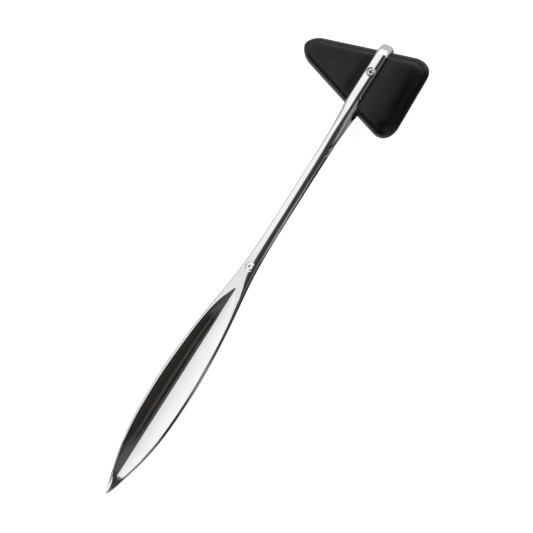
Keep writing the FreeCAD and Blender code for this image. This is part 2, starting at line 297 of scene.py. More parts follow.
def front_drop(x, y, thick):
    """How far the front lies below its ridge at each y."""
    width = half_width(x)
    left, right = left_round(x), right_round(x)
    squeeze = min(1.0, 2 * width / (left + right))
    left, right = left * squeeze, right * squeeze
    past_left = np.clip((y - (width - left)) / left, 0.0, 1.0)
    past_right = np.clip((-y - (width - right)) / right, 0.0, 1.0)
    facet = FACET_SLOPE * smooth_step(x, *FACET_STARTS) / SHAFT_THICK
    lean = facet * np.clip(y - (right - width), 0.0, None)
    rounded = thick * (1 - (1 - lean) * np.sqrt(np.clip(1 - (past_left + past_right) ** 2, 0.0, 1.0)))
    ridge = float(tip_ridge(x))
    left_part = np.clip((y - ridge) / max(width - ridge, 1e-6), 0.0, 1.0)
    right_part = np.clip((ridge - y) / (width + ridge), 0.0, 1.0)
    roof = thick * (left_part ** TIP_ROOF_CURVE + right_part)
    at_tip = 1 - smooth_step(x, *TIP_ROOF_ENDS)
    drop = rounded * (1 - at_tip) + roof * at_tip
    if x < HOLLOW_STOP:
        drop = drop + hollow_depth(x, y) * (past_left + past_right < 1e-9)
    away = np.hypot(x - STAMP_X, y)
    flat = STAMP_FLATNESS * (1 - smooth_step(away, *STAMP_FLAT))
    return drop * (1 - flat) + stamp_depth(away)


def back_drop(x, y, thick):
    """The plain back: flat in the middle of the blade, full round on the shaft and the strap."""
    power = BACK_FLATNESS + (BACK_ROUNDNESS - BACK_FLATNESS) * smooth_step(x, *BACK_ROUNDS)
    part = np.clip(np.abs(y) / max(half_width(x), 1e-6), 0.0, 1.0)
    return thick * (1 - np.clip(1 - part ** power, 0.0, 1.0) ** (1 / power))


def arc(centre, radius, start, stop, count):
    """Points and normals round part of a circle in the side view, without its first point."""
    angles = np.radians(np.linspace(start, stop, count + 1)[1:])
    normals = np.stack([np.cos(angles), np.sin(angles)], 1)
    return [(np.array(centre) + radius * normal, normal) for normal in normals]


def eye_outside():
    """Outer line of the upper half of the eye in the side view, from the shaft to the middle of the top."""
    start, end = np.array([CROTCH_START, SHAFT_THICK]), np.array([EYE_STRAIGHT, EYE_OUTER])
    length = np.array([end[0] - start[0], 0.0])
    poles = [start, start + length * CROTCH_LEAVE, end - length * CROTCH_ARRIVE, end]
    legs = np.diff(poles, axis=0)
    line = []
    for t in np.linspace(0, 1, 41)[1:]:
        s = 1 - t
        point = s ** 3 * poles[0] + 3 * s * s * t * poles[1] + 3 * s * t * t * poles[2] + t ** 3 * poles[3]
        slope = s * s * legs[0] + 2 * s * t * legs[1] + t * t * legs[2]
        line.append((point, np.array([-slope[1], slope[0]]) / np.hypot(*slope)))
    for x in np.linspace(EYE_STRAIGHT, LENGTH - EYE_CORNER, 30)[1:]:
        line.append((np.array([x, EYE_OUTER]), np.array([0.0, 1.0])))
    line += arc((LENGTH - EYE_CORNER, EYE_OUTER - EYE_CORNER), EYE_CORNER, 90, 0, 20)
    for z in np.linspace(EYE_OUTER - EYE_CORNER, 0, 7)[1:]:
        line.append((np.array([LENGTH, z]), np.array([1.0, 0.0])))
    return line


def window_line():
    """The window's closed line in the side view, with normals that point into the window."""
    line = []
    reach = WINDOW_STRAIGHT - WINDOW_END
    for angle in np.radians(np.linspace(90, 270, WINDOW_NOSE_STEPS + 1)[:-1]):
        point = np.array([WINDOW_STRAIGHT + reach * math.cos(angle), EYE_INNER * math.sin(angle)])
        normal = -np.array([math.cos(angle) / reach, math.sin(angle) / EYE_INNER])
        line.append((point, normal / np.hypot(*normal)))
    low_corner = (WINDOW_TOP - WINDOW_CORNER, WINDOW_CORNER - EYE_INNER)
    high_corner = (WINDOW_TOP - WINDOW_CORNER, EYE_INNER - WINDOW_CORNER)
    for x in np.linspace(WINDOW_STRAIGHT, low_corner[0], 30):
        line.append((np.array([x, -EYE_INNER]), np.array([0.0, 1.0])))
    line += [(point, -normal) for point, normal in arc(low_corner, WINDOW_CORNER, -90, 0, 10)]
    for z in np.linspace(low_corner[1], high_corner[1], 8)[1:]:
        line.append((np.array([WINDOW_TOP, z]), np.array([-1.0, 0.0])))
    line += [(point, -normal) for point, normal in arc(high_corner, WINDOW_CORNER, 0, 90, 10)]
    for x in np.linspace(high_corner[0], WINDOW_STRAIGHT, 30)[1:-1]:
        line.append((np.array([x, EYE_INNER]), np.array([0.0, -1.0])))
    return line


def stations():
    """Where the rings of points lie along the blade and shaft: closer where the shape changes quickly."""
    stretches = [(0.25, 6.0, 14), (6.0, 12.0, 25), (12.0, 80.0, 90), (80.0, 93.0, 40), (93.0, 98.6, 12),
                 (98.6, 104.2, 42), (104.2, 125.0, 24), (125.0, CROTCH_START, 26)]
    return np.unique(np.concatenate([np.linspace(*stretch) for stretch in stretches]))


def front_ring(x):
    """Points across the front at x, down to the middle plane at both ends."""
    thick = half_thickness(x)
    across = front_columns(x)
    height = thick - front_drop(x, across, thick)
    height[[0, -1]] = 0.0
    return [(x, y, z) for y, z in zip(across, height)]


def back_ring(x):
    """Points across the back at x, up to the middle plane at both ends."""
    thick = half_thickness(x)
    across = front_columns(x)
    height = thick - back_drop(x, across, thick)
    height[[0, -1]] = 0.0
    return [(x, y, -z) for y, z in zip(across, height)]


def eye_rings():
    """Rings of points across the outside of the eye's upper half, from the shaft to the middle of the top."""
    rings = []
    run = 0.0
    previous = np.array([CROTCH_START, SHAFT_THICK])
    for point, normal in eye_outside():
        run += float(np.hypot(*(point - previous)))
        previous = point
        ridge_x = min(CROTCH_START + run, STRAP_FULL_X)
        across = front_columns(ridge_x)
        drop = front_drop(ridge_x, across, 1.0) * float(strap_depth(run))
        drop[[0, -1]] = float(strap_depth(run))
        base = point[None, :] - normal[None, :] * drop[:, None]
        rings.append([(x, y, z) for (x, z), y in zip(base, across)])
    return rings


def window_ring(point, normal):
    """Points across the window's skin at one place on its line, rounded over at both sides."""
    width = float(half_width(point[0]))
    quarter = np.linspace(0, math.pi / 2, LIP_STEPS + 1)
    left = [(width - LIP * (1 - math.cos(a)), LIP * (1 - math.sin(a))) for a in quarter]
    middle = [(y, 0.0) for y in np.linspace(width - LIP, LIP - width, 12)[1:-1]]
    right = [(-y, under) for y, under in left[::-1]]
    return [(point[0] - normal[0] * under, y, point[1] - normal[1] * under)
            for y, under in left + middle + right]


def bridge(points, outer, inner):
    """Triangles between two lines of points that run side by side, always across the shorter way."""
    def gap(i, j):
        return math.dist(points[outer[i]], points[inner[j]])

    faces, i, j = [], 0, 0
    while i < len(outer) - 1 or j < len(inner) - 1:
        step_outer = j == len(inner) - 1 or (i < len(outer) - 1 and gap(i + 1, j) <= gap(i, j + 1))
        if step_outer:
            faces.append((outer[i], outer[i + 1], inner[j]))
            i += 1
        else:
            faces.append((outer[i], inner[j + 1], inner[j]))
            j += 1
    return faces


def strip_faces(rows):
    """Quads between neighbouring open rows of point numbers."""
    return [(one[j], one[j + 1], two[j + 1], two[j])
            for one, two in zip(rows[:-1], rows[1:]) for j in range(len(one) - 1)]


def forging():
    """The whole handle: one skin over blade, shaft and eye, the window's skin, and the flat sides between."""
    points = []

    def add_row(ring):
        first = len(points)
        points.extend(ring)
        return list(range(first, len(points)))

    lengths = stations()
    fronts = [add_row(front_ring(x)) for x in lengths]
    upper = eye_rings()
    lower = [[(x, y, -z) for x, y, z in ring] for ring in upper[-2::-1]]
    eye = [add_row(ring) for ring in upper + lower]
    backs = [add_row(back_ring(x)) for x in lengths[::-1]]
    for front, back in zip(fronts, backs[::-1]):
        back[0], back[-1] = front[0], front[-1]
    skin = fronts + eye + backs
    faces = strip_faces(skin)
    tip = add_row([(0.0, 0.0, 0.0)])[0]
    for row in (skin[0], skin[-1]):
        faces += [(row[j + 1], row[j], tip) for j in range(len(row) - 1)]
    window = [add_row(window_ring(point, normal)) for point, normal in window_line()]
    faces += strip_faces(window + window[:1])
    nose = WINDOW_NOSE_STEPS // 2
    round_window = [window[(nose - k) % len(window)] for k in range(len(window) + 1)]
    for side in (0, -1):
        outer = [row[side] for row in (fronts[-1], *eye, fronts[-1])]
        faces += bridge(points, outer, [row[side] for row in round_window])
    piece = mesh_object("handle_forging", points, faces)
    mend(piece)
    return piece


# ------------------------------------------------------------------ the screw's fits
# Heights are over the handle's middle plane, and the screw goes in from the front.

COUNTERBORE = 1.75
MOUTH_CHAMFER = 0.1
CLEARANCE_RADIUS = 1.06
TAPPED_RADIUS = 1.02
TAPPED_MOUTH = 1.25
RUBBER_BORE = 1.05
SHANK_RADIUS = 0.98
SCREW_END = 0.3 - EYE_OUTER
THREAD_PITCH = 0.4
THREAD_DEPTH = 0.2
THREAD_END = 3.0
THREAD_FADES = (2.3, THREAD_END)
THREAD_STARTS = (SCREW_END, SCREW_END + 0.5)
THREAD_CORE = 0.78
PLAIN_SHANK = SHANK_RADIUS - 0.02
SCREW_POINT = ((0.55, SCREW_END), (0.7, SCREW_END + 0.02))
SCREW_SEGMENTS = 64
HEAD_TOP = EYE_OUTER - 0.1
HEAD_HEIGHT = 0.95
HEAD_UNDER = HEAD_TOP - HEAD_HEIGHT
HEAD_RADIUS = 1.33
HEAD_ROUND = 0.2
HEAD_CHAMFER = 0.06
RECESS_BOTTOM = (0.55, 0.18, HEAD_TOP - 0.6)
RECESS_MOUTH = (0.88, 0.27, HEAD_TOP + 0.02)
RECESS_ABOVE = (0.88, 0.27, HEAD_TOP + 0.5)
WASHER_THICK = 0.35
WASHER_INNER = 1.04
WASHER_OUTER = 1.5
WASHER_EDGE = 0.06
WASHER_GAP = 0.3
WASHER_GAP_RADIUS = 1.3
WASHER_STEPS = 80
SEAT_Z = HEAD_UNDER - WASHER_THICK - 0.02


def handle():
    """The forging with its counterbore in front and its tapped hole behind."""
    piece = forging()
    bore = turned("bore", [
        (CLEARANCE_RADIUS, 0.0), (CLEARANCE_RADIUS, SEAT_Z), (COUNTERBORE, SEAT_Z),
        (COUNTERBORE, EYE_OUTER - MOUTH_CHAMFER), (COUNTERBORE + 2, EYE_OUTER + 2)])
    tapped = turned("tapped", [
        (TAPPED_MOUTH, -EYE_OUTER - 1.0), (TAPPED_MOUTH, -EYE_OUTER - 0.02),
        (TAPPED_RADIUS, -EYE_OUTER + 0.21), (TAPPED_RADIUS, 0.0)])
    cut(piece, [bore, tapped])
    finish_mesh(piece)
    return piece


# ------------------------------------------------------------------ rubber head
# u runs along the rubber from its broad base to its narrow nose, square to the handle.

RUBBER_THICK = 8.35
RUBBER_X = SCREW_X - 2.3
RUBBER_MIDDLE = -3.0
RUBBER_HALF_WIDTH = 12.65
RUBBER_TAPER = 0.319
RUBBER_BASE = -18.5
RUBBER_NOSE = 28.2
RUBBER_SKEW = math.radians(2.0)
RUBBER_SPOKES = 288
EDGE_POWER = 1.6
EDGE_ROOT = 2.6
BASE_ROUND = 7.6
NOSE_ROUND = 5.5
LOW_ROUND = 4.0
LOW_ROUND_AT_BASE = 8.6
BEAD_HEIGHT = 0.006
BEAD_WIDTH = 0.016
BASE_THINNING = 0.13
BASE_THINNING_REACH = 12.0
PINCH = 0.28
PINCH_PLACE = 2.6
PINCH_REACH = 2.4
SINK = 0.10
SINK_PLACE = -8.0
SINK_REACH = (7.0, 5.0)
RUBBER_FARTHEST = 60.0
HALVINGS = 48
FLAT_RINGS = 25
GROOVE_HALF = 2.8
GROOVE_GAP = 0.06
GROOVE_REACH = 14.0

top_round = Curve((RUBBER_BASE, 6.8), (-10, 5.9), (-4, 5.3), (14, 5.1), (24, 4.3), (RUBBER_NOSE, 4.2))


def rubber_level(x, u):
    """0 on the flat faces of the rubber, 1 on its outline: how far the edge rounding has come."""
    slant = 1 / math.hypot(1, RUBBER_TAPER)
    half = RUBBER_HALF_WIDTH - RUBBER_TAPER * u
    low_round = LOW_ROUND_AT_BASE + (LOW_ROUND - LOW_ROUND_AT_BASE) * smooth_step(u, RUBBER_BASE, -4.0)
    sides = (((half - x) * slant, top_round(u)), ((half + x) * slant, low_round),
             (u - RUBBER_BASE, BASE_ROUND), (RUBBER_NOSE - u, NOSE_ROUND))
    return sum(np.clip(1 - gap / reach, 0.0, 4.0) ** 2 for gap, reach in sides)


def rubber_reach(level, ray):
    """How far out along each ray from the rubber's middle the rounding comes to that level."""
    low, high = np.zeros(RUBBER_SPOKES), np.full(RUBBER_SPOKES, RUBBER_FARTHEST)
    for _ in range(HALVINGS):
        half = (low + high) / 2
        inside = rubber_level(half * ray[0], RUBBER_MIDDLE + half * ray[1]) < level
        low, high = np.where(inside, half, low), np.where(inside, high, half)
    return low


def rubber_ring(reach, height, sign, ray):
    """Points round one face of the rubber, height being 0 at the parting line and 1 on the flat."""
    bead = 1 + BEAD_HEIGHT * math.exp(-(height / BEAD_WIDTH) ** 2)
    x, u = reach * ray[0] * bead, RUBBER_MIDDLE + reach * ray[1] * bead
    thinning = BASE_THINNING * np.clip(1 - (u - RUBBER_BASE) / BASE_THINNING_REACH, 0.0, 1.0) ** 2
    from_screw, cos, sin = RUBBER_X + x - SCREW_X, math.cos(RUBBER_SKEW), math.sin(RUBBER_SKEW)
    px, py = SCREW_X + from_screw * cos - u * sin, from_screw * sin + u * cos
    pinch = PINCH * np.exp(-((np.abs(py) - PINCH_PLACE) / PINCH_REACH) ** 2) * height
    away = np.hypot((px - RUBBER_X) / SINK_REACH[0], (py - SINK_PLACE) / SINK_REACH[1])
    sink = SINK * np.exp(-away ** 2) * height
    return list(zip(px, py, sign * (RUBBER_THICK * height * (1 - thinning) - pinch - sink)))


def rubber_head():
    """The wedge: rounded in plan and along its edges, with a parting line, grooved for the eye."""
    spokes = np.linspace(0, 2 * math.pi, RUBBER_SPOKES, endpoint=False)
    ray = np.stack([np.cos(spokes), np.sin(spokes)])
    heights = np.concatenate([[0.0, 0.01, 0.022, 0.036, 0.06], np.linspace(0.1, 0.9, 15),
                              [0.93, 0.955, 0.972, 0.985, 0.993, 0.998]])
    levels = np.maximum((1 - heights ** EDGE_ROOT) ** (1 / EDGE_POWER), 1e-9)
    rings = [(rubber_reach(level, ray), height) for level, height in zip(levels, heights)]
    flat = rubber_reach(1e-9, ray)
    rings += [(flat * part, 1.0) for part in np.linspace(1, 0, FLAT_RINGS + 1)[:-1]]
    skin = [rubber_ring(reach, height, -1, ray) for reach, height in rings[:0:-1]]
    skin += [rubber_ring(reach, height, 1, ray) for reach, height in rings]
    points = [point for ring in skin for point in ring]
    piece = mesh_object("rubber_wedge", points, tube_faces(len(skin), RUBBER_SPOKES))
    bore = turned("bore", [(RUBBER_BORE, -12.0), (RUBBER_BORE, 12.0)], 48)
    cut(piece, [eye_room(), bore])
    finish_mesh(piece, 40.0)
    return piece


def eye_room():
    """The room the eye takes up where it crosses the rubber: a collar round the window."""
    line = window_line()
    points = []
    for point, normal in line:
        for x, z in (point + normal * GROOVE_GAP, point - normal * GROOVE_REACH):
            points += [(x, -GROOVE_HALF, z), (x, GROOVE_HALF, z)]
    faces = []
    for i in range(len(line)):
        a, b = 4 * i, 4 * ((i + 1) % len(line))
        for one, two in ((0, 1), (1, 3), (3, 2), (2, 0)):
            faces.append((a + one, a + two, b + two, b + one))
    piece = mesh_object("eye_room", points, faces)
    finish_mesh(piece)
    return piece


# ------------------------------------------------------------------ screw and washer

def thread_radius(z, turn):
    """Radius of the screw's threaded end at a height and a part of a turn, running out at both ends."""
    groove = abs(2 * ((z / THREAD_PITCH - turn) % 1.0) - 1) ** 1.2
    cut_in = min(smooth_step(z, *THREAD_STARTS), 1 - smooth_step(z, *THREAD_FADES))
    plain = THREAD_CORE if z < 0 else PLAIN_SHANK
    return (SHANK_RADIUS - THREAD_DEPTH * groove) * cut_in + plain * (1 - cut_in)


def cross_recess():
    """The two crossing slots of the screw's recess, narrower towards the bottom."""
    cutters = []
    for crosswise in (False, True):
        points = []
        for half_long, half_wide, z in (RECESS_BOTTOM, RECESS_MOUTH, RECESS_ABOVE):
            for a, b in ((-1, -1), (1, -1), (1, 1), (-1, 1)):
                long, wide = a * half_long, b * half_wide
                x, y = (wide, long) if crosswise else (long, wide)
                points.append((SCREW_X + x, y, z))
        cutter = mesh_object("recess", points, tube_faces(3, 4))
        finish_mesh(cutter)
        cutters.append(cutter)
    return cutters


def clamp_screw():
    """Cheese-head screw: threaded shank, rounded head, cross recess with sloping walls."""
    points = [point for radius, z in SCREW_POINT for point in circle(radius, z, SCREW_SEGMENTS)]
    for z in np.arange(SCREW_END + 0.1, THREAD_END, THREAD_PITCH / 10):
        for k in range(SCREW_SEGMENTS):
            turn = k / SCREW_SEGMENTS
            angle, radius = 2 * math.pi * turn, thread_radius(z, turn)
            points.append((SCREW_X + radius * math.cos(angle), radius * math.sin(angle), z))
    profile = [(PLAIN_SHANK, THREAD_END + 0.2), (PLAIN_SHANK, HEAD_UNDER),
               (HEAD_RADIUS - HEAD_CHAMFER, HEAD_UNDER), (HEAD_RADIUS, HEAD_UNDER + HEAD_CHAMFER),
               (HEAD_RADIUS, HEAD_TOP - HEAD_ROUND)]
    for angle in np.radians((15, 30, 45, 60, 75, 90)):
        profile.append((HEAD_RADIUS - HEAD_ROUND * (1 - math.cos(angle)),
                        HEAD_TOP - HEAD_ROUND * (1 - math.sin(angle))))
    profile += [(1.0, HEAD_TOP), (0.7, HEAD_TOP), (0.4, HEAD_TOP)]
    for radius, z in profile:
        points += circle(radius, z, SCREW_SEGMENTS)
    piece = mesh_object("screw_body", points, tube_faces(len(points) // SCREW_SEGMENTS, SCREW_SEGMENTS))
    cut(piece, cross_recess())
    finish_mesh(piece, 30.0)
    return piece


def lock_washer():
    """Split spring washer, pressed flat, its wire's edges broken and its ends cut square."""
    bottom, edge = SEAT_Z + 0.01, WASHER_EDGE
    inner, outer, top = WASHER_INNER, WASHER_OUTER, bottom + WASHER_THICK
    section = [(inner + edge, bottom), (outer - edge, bottom), (outer, bottom + edge), (outer, top - edge),
               (outer - edge, top), (inner + edge, top), (inner, top - edge), (inner, bottom + edge)]
    half_gap = WASHER_GAP / 2 / WASHER_GAP_RADIUS
    points = []
    for angle in np.linspace(math.pi / 2 + half_gap, math.pi * 2.5 - half_gap, WASHER_STEPS):
        points += [(SCREW_X + r * math.cos(angle), r * math.sin(angle), z) for r, z in section]
    piece = mesh_object("washer_ring", points, tube_faces(WASHER_STEPS, len(section)))
    finish_mesh(piece)
    return piece


# ------------------------------------------------------------------ materials
# Noise scales are in turns per metre, and lengths that a material measures are in metres.

# Painted shade: a dark grey that stands in for the shade in the counterbore and in the screw's recess.
PAINTED_SHADE = (0.045, 0.045, 0.042, 1)
BORE_SHADE = (0.00182, 0.00190)
RECESS_SHADE = (-0.00018, -0.00008)
RECESS_FLOOR = (-0.0016, -0.0012)
MOULD_MARK = (185.6, -7.3, 8.25)
MOULD_MARK_RADIUS = 0.0019
MOULD_MARK_LINE = 0.00028


class Look:
    """A node material round one Principled shader, with short ways to wire it."""

    def __init__(self, name, **values):
        self.material = bpy.data.materials.new(name)
        self.material.use_nodes = True
        self.tree = self.material.node_tree
        self.shader = self.tree.nodes["Principled BSDF"]
        for socket, value in values.items():
            self.shader.inputs[socket.replace("_", " ")].default_value = value
        self.place = self.tree.nodes.new("ShaderNodeTexCoord").outputs["Object"]

    def node(self, kind, inputs=(), **settings):
        made = self.tree.nodes.new(kind)
        for name, value in settings.items():
            setattr(made, name, value)
        for name, value in dict(inputs).items():
            if isinstance(value, bpy.types.NodeSocket):
                self.tree.links.new(value, made.inputs[name])
            else:
                made.inputs[name].default_value = value
        return made

    def noise(self, scale, detail=3.0, roughness=0.5, stretch=(1, 1, 1)):
        moved = self.node("ShaderNodeMapping", {"Vector": self.place, "Scale": stretch})
        made = self.node("ShaderNodeTexNoise", {"Vector": moved.outputs[0], "Scale": scale,
                                                "Detail": detail, "Roughness": roughness})
        return made.outputs["Fac"]

    def from_point(self, point):
        """Distance in metres from a point given in the hammer's own axes."""
        centre = tuple(place([point])[0])
        made = self.node("ShaderNodeVectorMath", {0: self.place, 1: centre}, operation="DISTANCE")
        return made.outputs["Value"]

    def height_over(self, point):
        """Height in metres over a point given in the hammer's own axes, along its front axis."""
        centre = tuple(place([point])[0])
        away = self.node("ShaderNodeVectorMath", {0: self.place, 1: centre}, operation="SUBTRACT")
        made = self.node("ShaderNodeVectorMath", {0: away.outputs[0], 1: tuple(FRONT)},
                         operation="DOT_PRODUCT")
        return made.outputs["Value"]

    def blend(self, amount, first, second):
        return self.node("ShaderNodeMixRGB", {"Fac": amount, "Color1": first, "Color2": second}).outputs[0]

    def spread(self, value, low, high, to_low=0.0, to_high=1.0):
        made = self.node("ShaderNodeMapRange", {"Value": value, "From Min": low, "From Max": high,
                                                "To Min": to_low, "To Max": to_high})
        return made.outputs["Result"]

    def add(self, first, second):
        return self.node("ShaderNodeMath", {0: first, 1: second}, operation="ADD").outputs[0]

    def times(self, first, second):
        return self.node("ShaderNodeMath", {0: first, 1: second}, operation="MULTIPLY").outputs[0]

    def colours(self, value, *stops):
        made = self.tree.nodes.new("ShaderNodeValToRGB")
        self.tree.links.new(value, made.inputs[0])
        elements = made.color_ramp.elements
        while len(elements) < len(stops):
            elements.new(0.5)
        for element, (spot, *colour) in zip(elements, stops):
            element.position = spot
            element.color = (*colour, 1)
        return made.outputs[0]

    def into(self, name, value):
        self.tree.links.new(value, self.shader.inputs[name])

    def bump(self, height, strength, distance):
        made = self.node("ShaderNodeBump", {"Height": height, "Strength": strength, "Distance": distance})
        self.into("Normal", made.outputs[0])


def chrome_look():
    """Polished chrome plate: faint cloudiness, hairline scratches along the handle, a hand-buffed skin, and
    painted shade in the counterbore round the screw.
    """
    look = Look("chrome", Metallic=1.0)
    cloud = look.noise(70.0, detail=4.0)
    plate = look.colours(cloud, (0.3, 0.86, 0.868, 0.882), (0.7, 0.945, 0.948, 0.95))
    # Painted shade: the chrome darkens within about 1.9 mm of the middle of the counterbore's mouth.
    shade_in_bore = look.spread(look.from_point((SCREW_X, 0.0, EYE_OUTER)), *BORE_SHADE, 1.0, 0.0)
    look.into("Base Color", look.blend(shade_in_bore, plate, PAINTED_SHADE))
    streaks = look.noise(1.0, detail=2.0, roughness=0.6, stretch=(220.0, 5200.0, 5200.0))
    hairs = look.spread(streaks, 0.60, 0.74)
    smears = look.spread(look.noise(160.0), 0.35, 0.75, 0.018, 0.06)
    look.into("Roughness", look.add(smears, look.times(hairs, 0.05)))
    look.bump(look.noise(230.0, detail=1.0), strength=0.10, distance=0.00006)
    return look.material


def rubber_look():
    """Moulded black rubber: matt, finely grained, a little cloudy, with a dull bloom and a mould mark."""
    look = Look("rubber", Metallic=0.0, Specular_IOR_Level=0.42)
    cloud = look.spread(look.noise(65.0, detail=5.0, roughness=0.6), 0.3, 0.7)
    dust = look.spread(look.noise(1500.0, detail=2.0), 0.69, 0.75, 0.0, 0.35)
    mark = look.node("ShaderNodeMath", {0: look.from_point(MOULD_MARK), 1: MOULD_MARK_RADIUS,
                                        2: MOULD_MARK_LINE}, operation="COMPARE").outputs[0]
    tone = look.add(look.times(cloud, 0.65), look.add(dust, look.times(mark, 0.3)))
    look.into("Base Color", look.colours(tone, (0.0, 0.0015, 0.0019, 0.0026), (0.55, 0.0048, 0.0054, 0.0062),
                                         (1.0, 0.06, 0.06, 0.06)))
    look.into("Roughness", look.spread(look.noise(120.0, detail=4.0), 0.3, 0.7, 0.27, 0.38))
    grain = look.times(look.noise(2600.0, roughness=0.6), 0.16)
    swell = look.times(look.noise(190.0, detail=2.0), 1.3)
    look.bump(look.add(look.add(grain, swell), look.times(mark, -0.7)), strength=0.55, distance=0.00010)
    return look.material


def steel_look(name, dark, bright, rough):
    """Turned steel with fine marks and uneven shine, with painted shade on all that sits sunk below the
    head's top: the recess, the head's sides and the washer.
    """
    look = Look(name, Metallic=1.0)
    depth = look.height_over((SCREW_X, 0.0, HEAD_TOP))
    # Painted shade: dark from just under the head's top down to 1.2 mm below it, fading out by 1.6 mm, over
    # the recess, the head's sides and the washer.
    shade_in_recess = look.times(look.spread(depth, *RECESS_SHADE, 1.0, 0.0), look.spread(depth, *RECESS_FLOOR))
    clean = look.colours(look.noise(700.0, detail=4.0), (0.3, *dark), (0.7, *bright))
    look.into("Base Color", look.blend(shade_in_recess, clean, PAINTED_SHADE))
    look.into("Roughness", look.spread(look.noise(1800.0), 0.3, 0.7, rough, rough + 0.14))
    look.bump(look.noise(6000.0, detail=2.0), strength=0.15, distance=0.00001)
    return look.material


def dress(piece, node, body, material):
    """Give the piece its material, hide the CAD node it stands for, and put it on the body it rides on."""
    piece.data.materials.clear()
    piece.data.materials.append(material)
    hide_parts(node)
    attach(piece, body)


dress(handle(), "handle", "hammer", chrome_look())
dress(rubber_head(), "rubber_head", "hammer", rubber_look())
dress(clamp_screw(), "clamp_screw", "screw",
      steel_look("screw_steel", dark=(0.72, 0.725, 0.73), bright=(0.90, 0.905, 0.91), rough=0.07))
dress(lock_washer(), "lock_washer", "washer",
      steel_look("spring_steel", dark=(0.16, 0.155, 0.15), bright=(0.36, 0.35, 0.34), rough=0.26))

# ------------------------------------------------------------------ camera and floor

VIEW_CENTRE = (105.1, -5.0, 0.0)
VIEW_WIDTH = 0.2012
CAMERA_DISTANCE = 0.8
CAMERA_TILT = math.radians(7.0)
CAMERA_ROLL = math.radians(32.5)
FLOOR_HALF = 10.0
WALL_RADIUS = 9.5
WALL_HEIGHT = 4.0
WALL_SIDES = 64


def aim_camera():
    """Straight down on the front, a little from the blunt end of the rubber, the handle on a slant."""
    target = Vector(place([VIEW_CENTRE])[0])
    back = FRONT * math.cos(CAMERA_TILT) - SIDE * math.sin(CAMERA_TILT)
    across = SIDE * math.cos(CAMERA_TILT) + FRONT * math.sin(CAMERA_TILT)
    right = ALONG * math.sin(CAMERA_ROLL) - across * math.cos(CAMERA_ROLL)
    up = ALONG * math.cos(CAMERA_ROLL) + across * math.sin(CAMERA_ROLL)
    data = bpy.data.cameras.new("camera")
    data.sensor_width = 36.0
    data.lens = data.sensor_width * CAMERA_DISTANCE / VIEW_WIDTH
    data.clip_start = 0.01
    camera = bpy.data.objects.new("camera", data)
    bpy.context.scene.collection.objects.link(camera)
    turn = Matrix((right, up, back)).transposed().to_4x4()
    camera.matrix_world = Matrix.Translation(target + back * CAMERA_DISTANCE) @ turn
    bpy.context.scene.camera = camera


def pale_material():
    """A matt pale surface that glows a little, so that it comes out white."""
    material = bpy.data.materials.new("pale_stage")
    material.use_nodes = True
    shader = material.node_tree.nodes["Principled BSDF"]
    shader.inputs["Base Color"].default_value = (0.45, 0.45, 0.45, 1)
    shader.inputs["Roughness"].default_value = 0.9
    shader.inputs["Emission Color"].default_value = (1, 1, 1, 1)
    shader.inputs["Emission Strength"].default_value = 0.9
    return material


def stage_piece(name, points, faces, material):
    """Part of the studio, which the chrome doesn't mirror: its reflections come from the room's tones."""
    mesh = bpy.data.meshes.new(name)
    mesh.from_pydata(points, [], faces)
    mesh.materials.append(material)
    piece = bpy.data.objects.new(name, mesh)
    piece.visible_glossy = False
    bpy.context.scene.collection.objects.link(piece)
    return piece


def pale_stage():
    """A pale floor, and a round wall of the same colour that only the camera sees."""
    pale = pale_material()
    corners = [(FLOOR_HALF * x, FLOOR_HALF * y, 0.0) for x, y in ((-1, -1), (1, -1), (1, 1), (-1, 1))]
    stage_piece("floor", corners, [(0, 1, 2, 3)], pale)
    angles = [2 * math.pi * k / WALL_SIDES for k in range(WALL_SIDES)]
    ring = [(WALL_RADIUS * math.cos(angle), WALL_RADIUS * math.sin(angle)) for angle in angles]
    points = [(x, y, z) for z in (0.0, WALL_HEIGHT) for x, y in ring]
    sides = tube_faces(2, WALL_SIDES)[2:]
    wall = stage_piece("wall", points, sides, pale)
    wall.visible_diffuse = False
    wall.visible_shadow = False


# ------------------------------------------------------------------ the room that the chrome mirrors
# A direction has two angles in degrees: across, from straight up towards the rubber's nose, and along,
# from square to the handle towards the eye. A pair is where a tone begins and where it is complete.

TONES_ACROSS = [
    (-90, 0.30, 0.30, 0.31), (-77, 0.28, 0.28, 0.29), (-70, 0.34, 0.34, 0.36), (-64, 0.14, 0.14, 0.14),
    (-57, 0.22, 0.22, 0.23), (-52, 0.07, 0.07, 0.06), (-40, 0.045, 0.047, 0.037), (-25, 0.050, 0.052, 0.040),
    (-17, 0.033, 0.033, 0.028), (-11.5, 0.018, 0.018, 0.016), (-9.4, 0.022, 0.021, 0.019),
    (-8.9, 0.15, 0.085, 0.055), (-8.4, 0.052, 0.048, 0.042), (-7.4, 0.040, 0.040, 0.036),
    (-6.9, 0.003, 0.003, 0.003), (-5.9, 0.003, 0.003, 0.003), (-5.3, 0.06, 0.06, 0.06),
    (-3.0, 0.10, 0.10, 0.095), (1.8, 0.11, 0.11, 0.10),
    (3.4, 0.95, 0.95, 0.93), (5.0, 0.90, 0.905, 0.91), (8, 0.86, 0.865, 0.87), (13, 0.82, 0.825, 0.83),
    (18, 0.80, 0.805, 0.81), (24, 0.93, 0.93, 0.935), (29, 1.0, 1.0, 1.0), (45, 1.0, 1.0, 1.0),
    (62, 1.0, 1.0, 1.0), (76, 0.95, 0.95, 0.95), (84, 0.62, 0.62, 0.63), (90, 0.5, 0.5, 0.51),
]
BRIGHT_SIDE = (0.0, 2.0)
SLANT_START = -6.9
SLANT_REACH = 2.4
SLANT_RATE = 2.6
SLANT_FADES = (-60.0, -30.0)
SLANT_STOPS = 1.0
GREY_WALL = (0.085, 0.088, 0.095, 1)
GREY_WALL_LOW = ((0.2, 1.1), (-8.2, -6.8))
GREY_WALL_HIGH = ((7.7, 9.0), (-17.0, -11.0))
